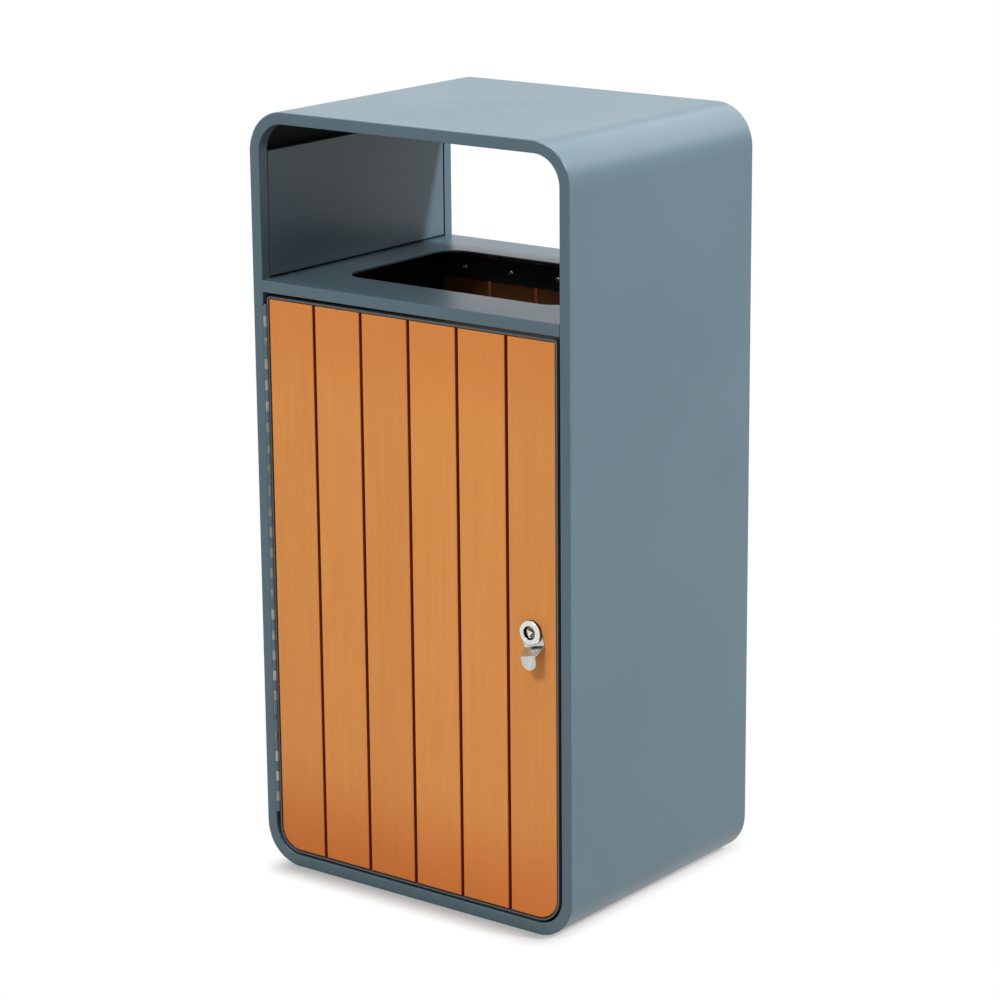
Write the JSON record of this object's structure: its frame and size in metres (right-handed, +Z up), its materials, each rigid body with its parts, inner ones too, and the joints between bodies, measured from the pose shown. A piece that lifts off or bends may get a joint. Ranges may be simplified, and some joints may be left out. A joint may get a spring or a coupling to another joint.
{
  "type": "rectangular litter bin",
  "caption": "Upright rectangular litter bin: rounded steel shell open through the hood, drop opening, slatted locking front door, slatted back and a lift-out inner bucket.",
  "frame": {"origin": "middle of the shell's flat underside, on the ground", "axes": "+Z up; -Y towards the front, where the door is; +X to the right seen from the front"},
  "size_m": [0.45, 0.365, 0.9],
  "materials": {
    "shell_paint": "satin blue-grey powder coat on sheet steel",
    "frame_paint": "satin grey powder coat on flat bar and angle",
    "slats": "matt orange-brown wood-plastic boards, brushed along their length",
    "stainless": "bright rolled stainless steel",
    "lock_chrome": "chrome-plated die casting",
    "zinc_steel": "zinc-plated steel",
    "galvanised": "hot-dip galvanised steel",
    "rubber": "black rubber"
  },
  "bodies": {
    "cabinet": {"shell_roof": "shell_paint", "shell_side_left": "shell_paint", "shell_side_right": "shell_paint", "shell_base": "shell_paint", "shell_corners": "shell_paint", "front_rim": "shell_paint", "rear_rim": "shell_paint", "deck_plate": "shell_paint", "deck_fascia_front": "shell_paint", "deck_fascia_rear": "shell_paint", "deck_ledger_left": "shell_paint", "deck_ledger_right": "shell_paint", "hood_panel_left": "shell_paint", "hood_panel_right": "shell_paint", "floor_pan": "shell_paint", "rear_frame": "frame_paint", "rear_rail_top": "frame_paint", "rear_rail_middle": "frame_paint", "rear_rail_bottom": "frame_paint", "rear_slat_1": "slats", "rear_slat_2": "slats", "rear_slat_3": "slats", "rear_slat_4": "slats", "rear_slat_5": "slats", "rear_slat_6": "slats", "rear_slat_screws": "zinc_steel", "hinge_leaf_fixed": "shell_paint", "hinge_pin": "stainless", "latch_keeper": "frame_paint", "door_bumper": "rubber"},
    "door": {"door_frame": "frame_paint", "door_rail_top": "frame_paint", "door_rail_middle": "frame_paint", "door_rail_bottom": "frame_paint", "door_slat_1": "slats", "door_slat_2": "slats", "door_slat_3": "slats", "door_slat_4": "slats", "door_slat_5": "slats", "door_slat_6": "slats", "door_slat_screws": "zinc_steel", "hinge_leaf_door": "stainless", "lock_housing": "lock_chrome", "lock_nut": "zinc_steel", "pull_tab": "stainless"},
    "lock_core": {"lock_core": "lock_chrome", "lock_cam": "zinc_steel", "cam_screw": "zinc_steel"},
    "bucket": {"bucket": "galvanised", "bucket_pivots": "galvanised", "pivot_rivets": "zinc_steel"},
    "bail": {"bucket_bail": "galvanised"}
  },
  "joints": [
    {"name": "door_hinge", "type": "hinge", "parent": "cabinet", "child": "door", "pos_m": [-0.2082, -0.174, 0.35], "axis": [0, 0, -1], "range_deg": [0, 115]},
    {"name": "lock_turn", "type": "hinge", "parent": "door", "child": "lock_core", "pos_m": [0.17163, -0.17, 0.355], "axis": [0, -1, 0], "range_deg": [0, 90]},
    {"name": "bucket_lift", "type": "slide", "parent": "cabinet", "child": "bucket", "axis": [0, 0, 1], "range_m": [0, 0.025]},
    {"name": "bail_swing", "type": "hinge", "parent": "bucket", "child": "bail", "pos_m": [0, 0.009, 0.555], "axis": [1, 0, 0], "range_deg": [0, 150]}
  ]
}
